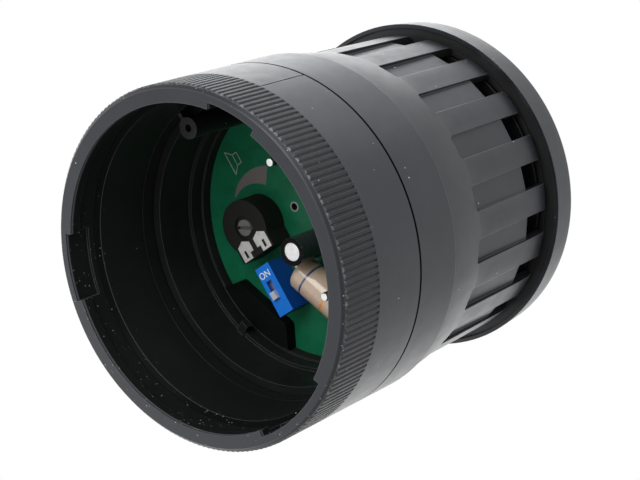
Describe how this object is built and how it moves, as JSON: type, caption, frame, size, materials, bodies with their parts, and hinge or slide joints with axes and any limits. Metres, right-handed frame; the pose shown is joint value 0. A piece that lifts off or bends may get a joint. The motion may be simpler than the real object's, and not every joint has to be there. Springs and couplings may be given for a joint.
{
  "type": "signal tower sounder module",
  "caption": "Cylindrical stackable sounder module with a knurled bayonet socket, louvred sound outlet and flanged cap; a trimmer and a slide switch sit on the board inside.",
  "frame": {"origin": "centre of the open socket's rim face, on the tower axis, at the lowest point", "axes": "+Z along the tower axis from the open socket to the closed cap; +X through the middle of the widest bayonet entry gap, give or take 4 degrees; +Y completes a right-handed set"},
  "size_m": [0.0704, 0.0704, 0.0785],
  "materials": {
    "barrel_plastic": "satin moulded, dark grey, worn on the knurl",
    "housing_plastic": "satin moulded, dark grey",
    "cap_plastic": "satin moulded, dark grey",
    "seal_rubber": "matt black",
    "carrier_plastic": "slightly glossy, near black",
    "screw_steel": "zinc plated",
    "board_laminate": "green solder mask, semi-gloss",
    "tin_plate": "tinned, soft sheen",
    "pot_plastic": "matt, brown-black",
    "rotor_plastic": "matt grey",
    "switch_blue": "semi-gloss blue",
    "slider_grey": "pale grey",
    "sleeve_plastic": "glossy black film",
    "can_aluminium": "bright drawn",
    "resistor_coat": "glazed tan with coloured bands",
    "post_plastic": "black",
    "contact_metal": "silver plated",
    "block_plastic": "black",
    "foam_rubber": "closed-cell foam",
    "basket_steel": "black lacquer",
    "magnet_ferrite": "sintered grey",
    "yoke_steel": "zinc plated",
    "coil_copper": "enamelled wire",
    "cone_fibre": "pressed fibre",
    "dome_fibre": "pressed fibre",
    "feed_brass": "bright"
  },
  "bodies": {
    "module": {"socket_barrel": "barrel_plastic", "joint_gasket": "seal_rubber", "louvre_housing": "housing_plastic", "top_cap": "cap_plastic", "board_carrier": "carrier_plastic", "board_screws": "screw_steel", "circuit_board": "board_laminate", "test_eyelet": "tin_plate", "volume_pot": "pot_plastic", "volume_terminals": "tin_plate", "switch_body": "switch_blue", "switch_pins": "tin_plate", "capacitor_sleeve": "sleeve_plastic", "capacitor_can": "can_aluminium", "power_resistor": "resistor_coat", "resistor_leads": "tin_plate", "contact_posts": "post_plastic", "post_tips": "contact_metal", "contact_block": "block_plastic", "block_pins": "tin_plate", "speaker_gasket": "foam_rubber", "speaker_frame": "basket_steel", "speaker_magnet": "magnet_ferrite", "speaker_yoke": "yoke_steel", "voice_coil": "coil_copper", "speaker_cone": "cone_fibre", "dust_cap": "dome_fibre", "feed_pins": "feed_brass"},
    "volume_rotor": {"volume_rotor": "rotor_plastic"},
    "mode_slider": {"switch_slider": "slider_grey"}
  },
  "joints": [
    {"name": "volume_turn", "type": "hinge", "parent": "module", "child": "volume_rotor", "pos_m": [-0.008, 0.01107, 0.0315], "axis": [0, 0, 1], "range_deg": [-115, 115]},
    {"name": "mode_slide", "type": "slide", "parent": "module", "child": "mode_slider", "axis": [-0.994, -0.1097, 0], "range_m": [0, 0.0021]}
  ]
}
